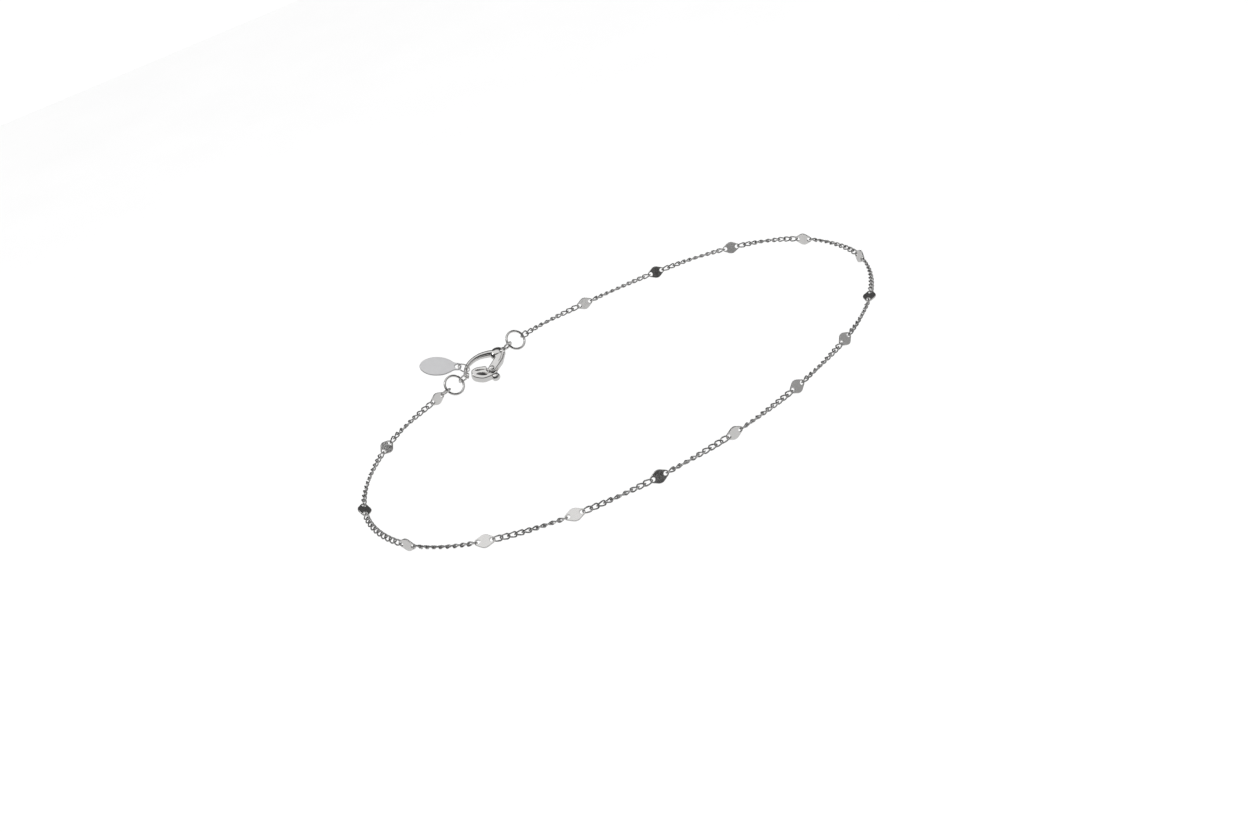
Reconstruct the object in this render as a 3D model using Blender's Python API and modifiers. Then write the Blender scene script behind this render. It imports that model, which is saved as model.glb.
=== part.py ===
# Station bracelet: a fine chain with round flat discs, a lobster clasp and a small oval tag.
# The loop lies in the XY plane as it sits round a wrist, +Z along the wrist,
# with the origin at the middle of the loop. Blender units are metres.

import math

import bmesh
import bpy
import numpy as np
from mathutils import Matrix, Vector

MM = 0.001
WELD_DISTANCE = 1e-7

# Clearances
GAP = 0.10 * MM              # between pieces that hang in each other
TIP_GAP = 0.15 * MM          # from the tip of the lever to the link in the claw
PIN_CLEARANCE = 0.06 * MM    # round the hinge pin
CHAIN_END_GAP = 0.30 * MM    # from the end of a chain stretch to the disc or ring

# Chain
LINK_PITCH = 0.858 * MM
CHAIN_DIAMETER = 0.80 * MM
CHAIN_POINT_SPACING = 2.5    # chain diameters between the points of a stretch

# Discs, each with an ear at both ends
DISC_DIAMETER = 1.70 * MM
DISC_THICKNESS = 0.22 * MM
EAR_OFFSET = 0.84 * MM
EAR_HOLE_DIAMETER = 0.54 * MM
EAR_RIM = 0.15 * MM

# Round jump rings at both sides of the clasp
RING_INNER_DIAMETER = 2.34 * MM
RING_WIRE = 0.33 * MM

# Oval links, one at the last disc and one that the claw catches
LINK_WIRE = 0.25 * MM
END_LINK_INNER_LENGTH = 1.25 * MM
END_LINK_INNER_WIDTH = 0.78 * MM
CATCH_LINK_INNER_LENGTH = 1.45 * MM
CATCH_LINK_INNER_WIDTH = 0.84 * MM

# Clasp: body from the inside of the claw to the inside of the eye
CLASP_REACH = 8.25 * MM
HEAD_THICKNESS = 1.40 * MM
CHEEK_THICKNESS = 1.20 * MM
CLAW_WIDTH = 0.45 * MM
ARM_RISE = 1.40 * MM
ARM_DEPTH_RATIO = 1.25
HEAD_REACH = 5.72 * MM       # from the inside of the claw to the middle of the head
HEAD_DROP = 0.10 * MM
HEAD_LENGTH = 2.30 * MM
HEAD_WIDTH = 2.05 * MM
NECK_DIAMETER = 1.72 * MM
NECK_END_DIAMETER = 0.48 * MM
NECK_DEPTH_RATIO = 0.75
NECK_END_GAP = 0.09 * MM     # from the end of the neck to the opening of the eye
EYE_WIRE = 0.30 * MM
EYE_INNER_LENGTH = 0.95 * MM
EYE_INNER_WIDTH = 0.60 * MM

# Lever with its thumb knob
BLADE_THICKNESS = 1.10 * MM
LEVER_WIDTH = 2.00 * MM
HINGE_REACH = 3.10 * MM      # from the inside of the claw to the hinge
LEVER_DROP = 1.70 * MM       # from the middle line of the clasp down to the hinge
BOSS_DIAMETER = 1.00 * MM
BOSS_THICKNESS = 0.62 * MM
BOSS_ROOT_DIAMETER = 0.90 * MM
BOSS_ROOT_REACH = 1.45 * MM  # from the hinge into the blade
BOSS_ROOT_RISE = 0.45 * MM
KNOB_DIAMETER = 1.10 * MM
KNOB_LENGTH = 1.25 * MM
KNOB_DEPTH = 1.10 * MM
KNOB_NECK_DIAMETER = 0.80 * MM
KNOB_REACH = 1.20 * MM
KNOB_LEAD = 0.42 * MM        # from the hinge towards the claw
GROOVE_DEPTH = 0.25 * MM
PIN_DIAMETER = 0.36 * MM
PIN_HEAD_DIAMETER = 0.62 * MM
PIN_HEAD_HEIGHT = 0.12 * MM
CHEEK_DIAMETER = 1.10 * MM
ELBOW_DIAMETER = 1.20 * MM
ELBOW_REACH = 5.05 * MM      # from the inside of the claw to the bend of the cheeks
ELBOW_DROP = 1.05 * MM
SHOULDER_DIAMETER = 1.50 * MM
SHOULDER_REACH = 5.90 * MM
SHOULDER_DROP = 0.30 * MM
SLOT_DIAMETER = 1.84 * MM

# Tag and its ring
TAG_LENGTH = 5.80 * MM
TAG_WIDTH = 2.80 * MM
TAG_THICKNESS = 0.28 * MM
TAG_HOLE_DIAMETER = 0.66 * MM
TAG_RIM = 0.24 * MM
TAG_END_TURN = 144.0         # degrees of round end about the hole
TAG_RING_INNER_DIAMETER = 1.40 * MM
TAG_RING_WIRE = 0.20 * MM

# How the pieces are turned about the chain, in degrees from lying upright in the loop
RING_ROLL = 41.0
CLASP_ROLL = 65.0
TAG_BEARING = 145.0
TAG_PITCH = 14.0
TAG_RING_PITCH = 20.0
TAG_FACE = 60.0

# Route of the chain round the wrist, millimetres, clockwise from the clasp's own ring
ROUTE = [
    (-5.0, 21.0), (6.8, 20.4), (18.4, 18.2), (29.0, 13.9), (36.3, 6.6), (37.6, -3.6),
    (31.6, -12.1), (22.8, -17.0), (12.3, -19.8), (1.8, -20.8), (-9.5, -20.1), (-20.5, -17.6),
    (-29.8, -13.1), (-36.4, -6.2), (-37.2, 4.1), (-29.8, 13.4), (-19.4, 17.8),
]

# One row for each disc: chain links before it, and its roll about the chain in degrees
STATIONS = [
    (11, 10), (11, 35), (11, 40), (10, 4), (10, 20), (10, 88), (9, 140), (10, 150),
    (10, 176), (10, 160), (10, 112), (10, 112), (9, 174), (10, 60), (12, 45), (10, 2),
]

# Row of ARM_SECTIONS that the tag's ring hangs round
TAG_RING_SECTION = 7

# The clasp's outer arm: place along the clasp and rise above its middle line as shares of
# CLASP_REACH and ARM_RISE, and its width as a share of CLAW_WIDTH
ARM_SECTIONS = [
    (0.660, 0.10, 2.10), (0.600, 0.44, 2.05), (0.527, 0.68, 1.95), (0.442, 0.89, 1.80),
    (0.352, 0.99, 1.62), (0.255, 0.99, 1.50), (0.164, 0.89, 1.36), (0.085, 0.70, 1.20),
    (0.024, 0.43, 1.08), (-0.026, 0.13, 1.00), (-0.028, -0.13, 0.95), (-0.007, -0.30, 0.85),
]

# Blade of the lever: place from the tip (0) to the hinge (1), and height above the hinge in
# shares of LEVER_WIDTH
BLADE_OUTLINE = [
    (0.05, 0.79), (0.14, 0.86), (0.30, 0.86), (0.50, 0.775), (0.71, 0.60), (0.87, 0.43), (0.77, 0.23),
    (0.715, 0.0), (0.76, -0.22), (0.87, -0.40), (0.74, -0.48), (0.47, -0.41), (0.20, -0.26),
    (0.01, 0.02), (-0.10, 0.33), (-0.05, 0.61),
]

# Grooves along both faces of the blade, in the same shares
GROOVE_OUTLINES = [
    [(0.07, 0.40), (0.22, 0.36), (0.42, 0.20), (0.58, -0.02), (0.64, -0.22), (0.42, -0.14), (0.20, 0.10)],
    [(0.22, 0.66), (0.40, 0.58), (0.60, 0.38), (0.66, 0.26), (0.44, 0.40), (0.26, 0.53)],
]

# Head of the hinge pin: distance from its axis and height over the clasp's face, in shares of
# half of PIN_HEAD_DIAMETER and of PIN_HEAD_HEIGHT
PIN_HEAD_PROFILE = [(0.0, 1.0), (0.6, 0.8), (1.0, 0.3), (1.0, 0.0)]

# Tag outline: place from the ring end (0) along the tag in shares of TAG_LENGTH, and half
# width in shares of half of TAG_WIDTH
TAG_OUTLINE = [
    (0.17, 0.42), (0.27, 0.66), (0.40, 0.90), (0.56, 1.00), (0.70, 0.97), (0.82, 0.83), (0.91, 0.62),
    (0.97, 0.36),
]

COLLECTION = "station_bracelet"


def new_collection(name):
    collection = bpy.data.collections.new(name)
    bpy.context.scene.collection.children.link(collection)
    return collection


def metal(name, colour, roughness):
    material = bpy.data.materials.new(name)
    material.use_nodes = True
    shader = material.node_tree.nodes["Principled BSDF"]
    shader.inputs["Base Color"].default_value = (*colour, 1.0)
    shader.inputs["Metallic"].default_value = 1.0
    shader.inputs["Roughness"].default_value = roughness
    return material


# Route


def closed_spline(points, steps):
    # Smooth closed curve through the points, with even steps between them
    knots = np.array(points, dtype=float)
    count = len(knots)
    unit = np.eye(count)
    system = 4.0 * unit + np.roll(unit, 1, axis=1) + np.roll(unit, -1, axis=1)
    bend = np.linalg.solve(system, 6.0 * (np.roll(knots, -1, 0) - 2.0 * knots + np.roll(knots, 1, 0)))
    curve = []
    for index in range(count):
        after = (index + 1) % count
        for step in range(steps):
            t = step / steps
            r = 1.0 - t
            point = r * knots[index] + t * knots[after]
            point = point + ((r**3 - r) * bend[index] + (t**3 - t) * bend[after]) / 6.0
            curve.append(point)
    return np.array(curve)


class Route:
    # The closed route, scaled to the length that the pieces need
    def __init__(self, points, length):
        curve = closed_spline(points, 60)
        curve = np.vstack([curve, curve[:1]])
        steps = np.linalg.norm(np.diff(curve, axis=0), axis=1)
        self.curve = curve * (length / steps.sum())
        self.distance = np.concatenate([[0.0], np.cumsum(steps)]) * (length / steps.sum())
        self.length = length

    def point(self, distance):
        place = distance % self.length
        x = np.interp(place, self.distance, self.curve[:, 0])
        y = np.interp(place, self.distance, self.curve[:, 1])
        return Vector((x, y, 0.0))

    def frame(self, start, end, roll):
        # X runs from one point of the route to the other, Z is the face turned by the roll
        origin = self.point(start)
        along = (self.point(end) - origin).normalized()
        inward = Vector((along.y, -along.x, 0.0))
        turn = math.radians(roll)
        face = math.cos(turn) * inward + math.sin(turn) * Vector((0.0, 0.0, 1.0))
        return frame_from(origin, along, face)


def frame_from(origin, along, face):
    across = face.cross(along).normalized()
    face = along.cross(across)
    matrix = Matrix((along, across, face)).transposed().to_4x4()
    matrix.translation = origin
    return matrix


# Shape helpers


def place(obj, name, matrix, material, collection):
    obj.name = name
    obj.data.name = name
    obj.matrix_world = matrix
    obj.data.materials.clear()
    obj.data.materials.append(material)
    for old in obj.users_collection:
        old.objects.unlink(obj)
    collection.objects.link(obj)
    return obj


def wire(name, points, thickness, closed, resolution=2, widths=None):
    # Round wire along a row of points
    curve = bpy.data.curves.new(name, "CURVE")
    curve.dimensions = "3D"
    curve.bevel_depth = thickness / 2.0
    curve.bevel_resolution = resolution
    curve.use_fill_caps = True
    spline = curve.splines.new("POLY")
    spline.points.add(len(points) - 1)
    for index, point in enumerate(points):
        spline.points[index].co = (*point, 1.0)
        spline.points[index].radius = widths[index] if widths else 1.0
    spline.use_cyclic_u = closed
    obj = bpy.data.objects.new(name, curve)
    bpy.context.scene.collection.objects.link(obj)
    return obj


def plate(name, outlines, thickness):
    # Flat shape with holes, centred on its own plane
    curve = bpy.data.curves.new(name, "CURVE")
    curve.dimensions = "2D"
    curve.fill_mode = "BOTH"
    curve.extrude = thickness / 2.0
    for outline in outlines:
        spline = curve.splines.new("POLY")
        spline.points.add(len(outline) - 1)
        for index, (x, y) in enumerate(outline):
            spline.points[index].co = (x, y, 0.0, 1.0)
        spline.use_cyclic_u = True
    obj = bpy.data.objects.new(name, curve)
    bpy.context.scene.collection.objects.link(obj)
    return obj


def as_mesh(obj):
    # Evaluated copy of a curve or a mesh with modifiers, as one welded mesh
    depsgraph = bpy.context.evaluated_depsgraph_get()
    mesh = bpy.data.meshes.new_from_object(obj.evaluated_get(depsgraph))
    solid = bpy.data.objects.new(obj.name, mesh)
    bpy.context.scene.collection.objects.link(solid)
    solid.matrix_world = obj.matrix_world
    bpy.data.objects.remove(obj)
    shape = bmesh.new()
    shape.from_mesh(mesh)
    bmesh.ops.remove_doubles(shape, verts=shape.verts, dist=WELD_DISTANCE)
    bmesh.ops.recalc_face_normals(shape, faces=shape.faces)
    shape.to_mesh(mesh)
    shape.free()
    return solid


def from_bmesh(name, shape):
    mesh = bpy.data.meshes.new(name)
    shape.to_mesh(mesh)
    shape.free()
    obj = bpy.data.objects.new(name, mesh)
    bpy.context.scene.collection.objects.link(obj)
    return obj


def cylinder(name, diameter, depth, centre, sides=24):
    shape = bmesh.new()
    bmesh.ops.create_cone(
        shape, cap_ends=True, segments=sides, radius1=diameter / 2.0, radius2=diameter / 2.0,
        depth=depth, matrix=Matrix.Translation(centre))
    return from_bmesh(name, shape)


def ball(name, size, centre, segments=20, rings=12):
    shape = bmesh.new()
    scaled = Matrix.Translation(centre) @ Matrix.Diagonal((*size, 1.0))
    bmesh.ops.create_uvsphere(shape, u_segments=segments, v_segments=rings, radius=0.5, matrix=scaled)
    return from_bmesh(name, shape)


def combine(base, others, operation):
    # Boolean with each of the others in turn, kept as plain mesh
    for other in others:
        modifier = base.modifiers.new("combine", "BOOLEAN")
        modifier.operation = operation
        modifier.solver = "EXACT"
        modifier.object = other
        bpy.context.view_layer.update()
        base = as_mesh(base)
        bpy.data.objects.remove(other)
    return base


def circle(radius, centre, sides, start=0.0):
    angles = [start + 2.0 * math.pi * step / sides for step in range(sides)]
    return [(centre[0] + radius * math.cos(a), centre[1] + radius * math.sin(a)) for a in angles]


def arc(radius, centre, first, last, steps):
    angles = [first + (last - first) * step / steps for step in range(steps + 1)]
    return [(centre[0] + radius * math.cos(a), centre[1] + radius * math.sin(a)) for a in angles]


def hull(radius, centre, other_radius, other_centre, steps):
    # Outline of two circles and the straight sides that touch both
    reach_x = other_centre[0] - centre[0]
    reach_y = other_centre[1] - centre[1]
    reach = math.hypot(reach_x, reach_y)
    heading = math.atan2(reach_y, reach_x)
    lean = math.acos((radius - other_radius) / reach)
    near = arc(radius, centre, heading + lean, heading + 2.0 * math.pi - lean, 2 * steps)
    far = arc(other_radius, other_centre, heading - lean, heading + lean, steps)
    return near + far


def oval(inner_length, inner_width, thickness, steps=8):
    # Centre line of an oval link that starts with its near inner end at x = 0
    radius = (inner_width + thickness) / 2.0
    near = radius - thickness / 2.0
    far = inner_length - near
    half = math.pi / 2.0
    right = arc(radius, (far, 0.0), -half, half, steps)
    left = arc(radius, (near, 0.0), half, 3.0 * half, steps)
    return right + left


# Layout along the route


def layout():
    # Distances along the route of the rings and the discs, from the clasp's own ring
    disc_hold = EAR_OFFSET + EAR_HOLE_DIAMETER / 2.0
    ring_hold = RING_INNER_DIAMETER / 2.0
    discs = []
    reached = ring_hold
    for links, _ in STATIONS:
        reached += links * LINK_PITCH + disc_hold
        discs.append(reached)
        reached += disc_hold
    reached += END_LINK_INNER_LENGTH - 2.0 * GAP
    catch_ring = reached + ring_hold
    claw = catch_ring + ring_hold + CATCH_LINK_INNER_LENGTH - 2.0 * GAP
    total = claw + CLASP_REACH - GAP + ring_hold
    return {"discs": discs, "catch_ring": catch_ring, "claw": claw, "total": total}


# Chain and discs


def chain_stretch(name, route, start, end):
    # Outer form of a stretch of chain, as a tube along the route
    count = max(2, round((end - start) / (CHAIN_POINT_SPACING * CHAIN_DIAMETER)))
    points = [route.point(start + (end - start) * step / count) for step in range(count + 1)]
    return wire(name, points, CHAIN_DIAMETER, closed=False)


def disc_shape():
    # Round disc drawn out to a small ear at both ends, with a hole in each ear
    radius = DISC_DIAMETER / 2.0
    hole = EAR_HOLE_DIAMETER / 2.0
    ear = hole + EAR_RIM
    lean = math.acos((radius - ear) / EAR_OFFSET)
    outline = arc(ear, (EAR_OFFSET, 0.0), -lean, lean, 8)
    outline += arc(radius, (0.0, 0.0), lean, math.pi - lean, 7)
    outline += arc(ear, (-EAR_OFFSET, 0.0), math.pi - lean, math.pi + lean, 8)
    outline += arc(radius, (0.0, 0.0), math.pi + lean, 2.0 * math.pi - lean, 7)
    right = circle(hole, (EAR_OFFSET, 0.0), 12)
    left = circle(hole, (-EAR_OFFSET, 0.0), 12)
    return as_mesh(plate("disc", [outline, right, left], DISC_THICKNESS))


def disc_frame(route, distance, roll):
    frame = route.frame(distance - EAR_OFFSET, distance + EAR_OFFSET, roll)
    frame.translation = (frame.translation + route.point(distance + EAR_OFFSET)) / 2.0
    return frame


def build_chain(route, places, collection, silver):
    ring_outer = RING_INNER_DIAMETER / 2.0 + RING_WIRE
    disc_end = EAR_OFFSET + EAR_HOLE_DIAMETER / 2.0 + EAR_RIM
    pattern = disc_shape()
    last_end = ring_outer
    for number, (distance, (_, roll)) in enumerate(zip(places["discs"], STATIONS), start=1):
        start = last_end + CHAIN_END_GAP
        end = distance - disc_end - CHAIN_END_GAP
        tube = chain_stretch("chain", route, start, end)
        place(tube, f"chain_{number:02d}", Matrix.Identity(4), silver, collection)
        disc = bpy.data.objects.new("disc", pattern.data)
        bpy.context.scene.collection.objects.link(disc)
        place(disc, f"disc_{number:02d}", disc_frame(route, distance, roll), silver, collection)
        last_end = distance + disc_end
    bpy.data.objects.remove(pattern)


# Rings and links


def jump_ring(inner_diameter, thickness, sides):
    points = circle((inner_diameter + thickness) / 2.0, (0.0, 0.0), sides)
    return wire("ring", [(x, y, 0.0) for x, y in points], thickness, closed=True, resolution=2)


def edge_link(inner_length, inner_width):
    # Oval link standing on edge to the faces of its neighbours
    points = oval(inner_length, inner_width, LINK_WIRE)
    return wire("link", [(x, 0.0, y) for x, y in points], LINK_WIRE, closed=True, resolution=1)


def build_rings(route, places, collection, silver):
    clasp_side = route.frame(places["catch_ring"], places["total"], RING_ROLL)
    clasp_side.translation = route.point(places["total"])
    place(as_mesh(jump_ring(RING_INNER_DIAMETER, RING_WIRE, 24)), "jump_ring", clasp_side, silver, collection)
    catch_side = clasp_side.copy()
    catch_side.translation = route.point(places["catch_ring"])
    place(as_mesh(jump_ring(RING_INNER_DIAMETER, RING_WIRE, 24)), "catch_ring", catch_side, silver, collection)

    last_roll = STATIONS[-1][1]
    last_disc = places["discs"][-1]
    disc_hold = EAR_OFFSET + EAR_HOLE_DIAMETER / 2.0 - GAP
    ring_hold = RING_INNER_DIAMETER / 2.0 - GAP
    first = disc_frame(route, last_disc, last_roll) @ Vector((disc_hold, 0.0, 0.0))
    end_frame = route.frame(last_disc, places["catch_ring"], (last_roll + RING_ROLL) / 2.0)
    last = catch_side.translation - end_frame.col[0].to_3d() * ring_hold
    end_frame = frame_from(first, (last - first).normalized(), end_frame.col[2].to_3d())
    end_link = edge_link(END_LINK_INNER_LENGTH, END_LINK_INNER_WIDTH)
    place(as_mesh(end_link), "end_link", end_frame, silver, collection)

    catch_frame = route.frame(places["catch_ring"], places["total"], CLASP_ROLL)
    catch_frame.translation = catch_frame @ Vector((ring_hold, 0.0, 0.0))
    catch_link = edge_link(CATCH_LINK_INNER_LENGTH, CATCH_LINK_INNER_WIDTH)
    place(as_mesh(catch_link), "catch_link", catch_frame, silver, collection)


# Clasp, in its own frame: X from the inside of the claw to the eye, Y to the arm, Z its face


def arm_row(row):
    along, rise, width = row
    return Vector((along * CLASP_REACH, rise * ARM_RISE, 0.0)), width


def hinge_place():
    return Vector((HINGE_REACH, -LEVER_DROP, 0.0))


def smooth_rows(rows, steps):
    # Open smooth curve through the rows of a table
    rows = np.array(rows, dtype=float)
    result = []
    for index in range(len(rows) - 1):
        before = rows[max(index - 1, 0)]
        after = rows[min(index + 2, len(rows) - 1)]
        first, second = rows[index], rows[index + 1]
        for step in range(steps):
            t = step / steps
            curve = 2.0 * first + (second - before) * t
            curve = curve + (2.0 * before - 5.0 * first + 4.0 * second - after) * t**2
            curve = curve + (3.0 * first - before - 3.0 * second + after) * t**3
            result.append(curve / 2.0)
    result.append(rows[-1])
    return result


def clasp_arm():
    # Tapered arm that curls round the catch end, deeper than it is wide
    points = []
    widths = []
    for row in smooth_rows(ARM_SECTIONS, 2):
        point, width = arm_row(row)
        points.append(point)
        widths.append(width)
    arm = as_mesh(wire("arm", points, CLAW_WIDTH, closed=False, resolution=2, widths=widths))
    for vertex in arm.data.vertices:
        vertex.co.z *= ARM_DEPTH_RATIO
    return arm


def clasp_eye():
    # Loop on edge at the end of the clasp, for the jump ring
    points = oval(EYE_INNER_LENGTH, EYE_INNER_WIDTH, EYE_WIRE)
    start = CLASP_REACH - EYE_INNER_LENGTH
    return as_mesh(wire("eye", [(start + x, 0.0, y) for x, y in points], EYE_WIRE, closed=True, resolution=2))


def clasp_neck(head_centre):
    # Cone from the head to the root of the eye
    length = CLASP_REACH - EYE_INNER_LENGTH - NECK_END_GAP - head_centre.x
    shape = bmesh.new()
    turned = Matrix.Rotation(math.pi / 2.0, 4, "Y")
    middle = Matrix.Translation((head_centre.x + length / 2.0, head_centre.y / 2.0, 0.0))
    bmesh.ops.create_cone(
        shape, cap_ends=True, segments=20, radius1=NECK_DIAMETER / 2.0, radius2=NECK_END_DIAMETER / 2.0,
        depth=length, matrix=middle @ turned)
    bmesh.ops.scale(shape, vec=(1.0, 1.0, NECK_DEPTH_RATIO), verts=shape.verts)
    return from_bmesh("neck", shape)


def clasp_cheeks(hinge):
    # Solid cheeks from the head round a bend to the hinge, slotted later for the lever
    shoulder = (SHOULDER_REACH, -SHOULDER_DROP)
    elbow = (ELBOW_REACH, -ELBOW_DROP)
    upper = hull(SHOULDER_DIAMETER / 2.0, shoulder, ELBOW_DIAMETER / 2.0, elbow, 8)
    lower = hull(ELBOW_DIAMETER / 2.0, elbow, CHEEK_DIAMETER / 2.0, hinge, 8)
    return [as_mesh(plate("cheeks", [outline], CHEEK_THICKNESS)) for outline in (upper, lower)]


def clasp_body():
    hinge = hinge_place()
    head_centre = Vector((HEAD_REACH, -HEAD_DROP, 0.0))
    head = ball("head", (HEAD_LENGTH, HEAD_WIDTH, HEAD_THICKNESS), head_centre)
    joined = [clasp_arm(), clasp_neck(head_centre), clasp_eye(), *clasp_cheeks(hinge)]
    body = combine(head, joined, "UNION")
    slot = cylinder("slot", SLOT_DIAMETER, BOSS_THICKNESS + 2.0 * GAP, hinge, sides=32)
    bore = cylinder("bore", PIN_DIAMETER + 2.0 * PIN_CLEARANCE, 2.0 * CHEEK_THICKNESS, hinge, sides=16)
    return combine(body, [slot, bore], "DIFFERENCE")


def lever_length():
    # From the hinge to the tip, which stops short of the link that hangs in the claw
    return hinge_place().x - GAP - LINK_WIRE - TIP_GAP


def lever_outline(rows):
    length = lever_length()
    return [((place_share - 1.0) * length, height * LEVER_WIDTH) for place_share, height in rows]


def clasp_lever():
    # Thick grooved blade on a thinner boss, which turns between the cheeks, and a thumb knob
    blade_outline = [tuple(point) for point in closed_spline(lever_outline(BLADE_OUTLINE), 3)]
    blade = as_mesh(plate("blade", [blade_outline], BLADE_THICKNESS))
    knob_centre = Vector((-KNOB_LEAD, -KNOB_REACH, 0.0))
    blade_root = (-BOSS_ROOT_REACH, BOSS_ROOT_RISE)
    to_blade = hull(BOSS_DIAMETER / 2.0, (0.0, 0.0), BOSS_ROOT_DIAMETER / 2.0, blade_root, 8)
    to_knob = hull(BOSS_DIAMETER / 2.0, (0.0, 0.0), KNOB_NECK_DIAMETER / 2.0, knob_centre, 8)
    boss = as_mesh(plate("boss", [to_blade], BOSS_THICKNESS))
    neck = as_mesh(plate("neck", [to_knob], BOSS_THICKNESS))
    knob = ball("knob", (KNOB_LENGTH, KNOB_DIAMETER, KNOB_DEPTH), knob_centre)
    lever = combine(blade, [boss, neck, knob], "UNION")
    cutters = []
    for rows in GROOVE_OUTLINES:
        groove_outline = [tuple(point) for point in closed_spline(lever_outline(rows), 2)]
        for side in (-1.0, 1.0):
            cutter = as_mesh(plate("groove", [groove_outline], 2.0 * GROOVE_DEPTH))
            for vertex in cutter.data.vertices:
                vertex.co.z += side * BLADE_THICKNESS / 2.0
            cutters.append(cutter)
    bore_depth = 2.0 * CHEEK_THICKNESS
    bore = cylinder("bore", PIN_DIAMETER + 2.0 * PIN_CLEARANCE, bore_depth, (0.0, 0.0, 0.0), sides=16)
    return combine(lever, [*cutters, bore], "DIFFERENCE")


def hinge_pin():
    # Rivet with a low domed head at both faces of the clasp
    shaft = PIN_DIAMETER / 2.0
    head = PIN_HEAD_DIAMETER / 2.0
    face = CHEEK_THICKNESS / 2.0 + PIN_CLEARANCE
    profile = [(out * head, face + rise * PIN_HEAD_HEIGHT) for out, rise in PIN_HEAD_PROFILE]
    profile.append((shaft, face))
    profile += [(x, -z) for x, z in reversed(profile)]
    shape = bmesh.new()
    verts = [shape.verts.new((x, 0.0, z)) for x, z in profile]
    for first, second in zip(verts, verts[1:]):
        shape.edges.new((first, second))
    pin = from_bmesh("pin", shape)
    turn = pin.modifiers.new("turn", "SCREW")
    turn.steps = 16
    turn.render_steps = 16
    turn.use_merge_vertices = True
    turn.merge_threshold = WELD_DISTANCE
    bpy.context.view_layer.update()
    return as_mesh(pin)


def build_clasp(route, places, collection, silver):
    frame = route.frame(places["catch_ring"], places["total"], CLASP_ROLL)
    ahead = places["claw"] - places["catch_ring"]
    frame.translation = frame @ Vector((ahead, 0.0, 0.0))
    place(clasp_body(), "clasp_body", frame, silver, collection)
    at_hinge = frame.copy()
    at_hinge.translation = frame @ hinge_place()
    place(clasp_lever(), "clasp_lever", at_hinge, silver, collection)
    place(hinge_pin(), "clasp_pin", at_hinge, silver, collection)
    return frame


# Tag


def tag_shape():
    # Oval plate that narrows to a holed end, X away from the hole
    hole = TAG_HOLE_DIAMETER / 2.0
    neck = hole + TAG_RIM
    half_turn = math.radians(TAG_END_TURN) / 2.0
    outline = arc(neck, (0.0, 0.0), math.pi - half_turn, math.pi + half_turn, 8)
    lower = [(along * TAG_LENGTH - neck, -half * TAG_WIDTH / 2.0) for along, half in TAG_OUTLINE]
    upper = [(x, -y) for x, y in reversed(lower)]
    tip = (TAG_LENGTH - neck, 0.0)
    side = smooth_rows([outline[-1], *lower, tip, *upper, outline[0]], 2)
    outline = outline[1:] + [tuple(point) for point in side[1:]]
    return as_mesh(plate("tag", [outline, circle(hole, (0.0, 0.0), 16)], TAG_THICKNESS))


def leaning(bearing, pitch):
    # Unit direction at a bearing in the plane of the loop, raised by the pitch
    bearing = math.radians(bearing)
    pitch = math.radians(pitch)
    flat = Vector((math.cos(bearing), math.sin(bearing), 0.0))
    return math.cos(pitch) * flat + Vector((0.0, 0.0, math.sin(pitch)))


def build_tag(clasp_frame, collection, silver, brushed):
    away = leaning(TAG_BEARING, TAG_PITCH)
    side = away.cross(Vector((0.0, 0.0, 1.0))).normalized() * -1.0
    turn = math.radians(TAG_FACE)
    face = math.cos(turn) * side + math.sin(turn) * away.cross(side)

    arm, width = arm_row(ARM_SECTIONS[TAG_RING_SECTION])
    before = arm_row(ARM_SECTIONS[TAG_RING_SECTION - 1])[0]
    after = arm_row(ARM_SECTIONS[TAG_RING_SECTION + 1])[0]
    ring_face = (clasp_frame.to_3x3() @ (before - after)).normalized()
    ring_away = leaning(TAG_BEARING, TAG_RING_PITCH)
    outward = (ring_away - ring_away.project(ring_face)).normalized()
    ring_inner = TAG_RING_INNER_DIAMETER / 2.0
    ring_centre = clasp_frame @ arm + outward * (ring_inner - width * CLAW_WIDTH / 2.0 - GAP)
    ring = as_mesh(jump_ring(TAG_RING_INNER_DIAMETER, TAG_RING_WIRE, 20))
    place(ring, "tag_ring", frame_from(ring_centre, outward, ring_face), silver, collection)

    held = ring_centre + outward * (ring_inner + TAG_RING_WIRE / 2.0)
    hole_centre = held + away * ((TAG_HOLE_DIAMETER - TAG_RING_WIRE) / 2.0 - GAP)
    place(tag_shape(), "tag", frame_from(hole_centre, away, face), brushed, collection)


def main():
    for obj in list(bpy.data.objects):
        bpy.data.objects.remove(obj)
    collection = new_collection(COLLECTION)
    silver = metal("polished_silver", (0.91, 0.90, 0.88), 0.12)
    brushed = metal("brushed_silver", (0.84, 0.84, 0.84), 0.30)
    places = layout()
    route = Route(np.array(ROUTE) * MM, places["total"])
    build_chain(route, places, collection, silver)
    build_rings(route, places, collection, silver)
    clasp_frame = build_clasp(route, places, collection, silver)
    build_tag(clasp_frame, collection, silver, brushed)
    bpy.context.view_layer.update()


main()
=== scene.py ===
# Station bracelet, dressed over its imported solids: curb links, discs, clasp, rings and tag
import math

import bmesh
import bpy
import numpy as np
from mathutils import Matrix, Vector


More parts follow.
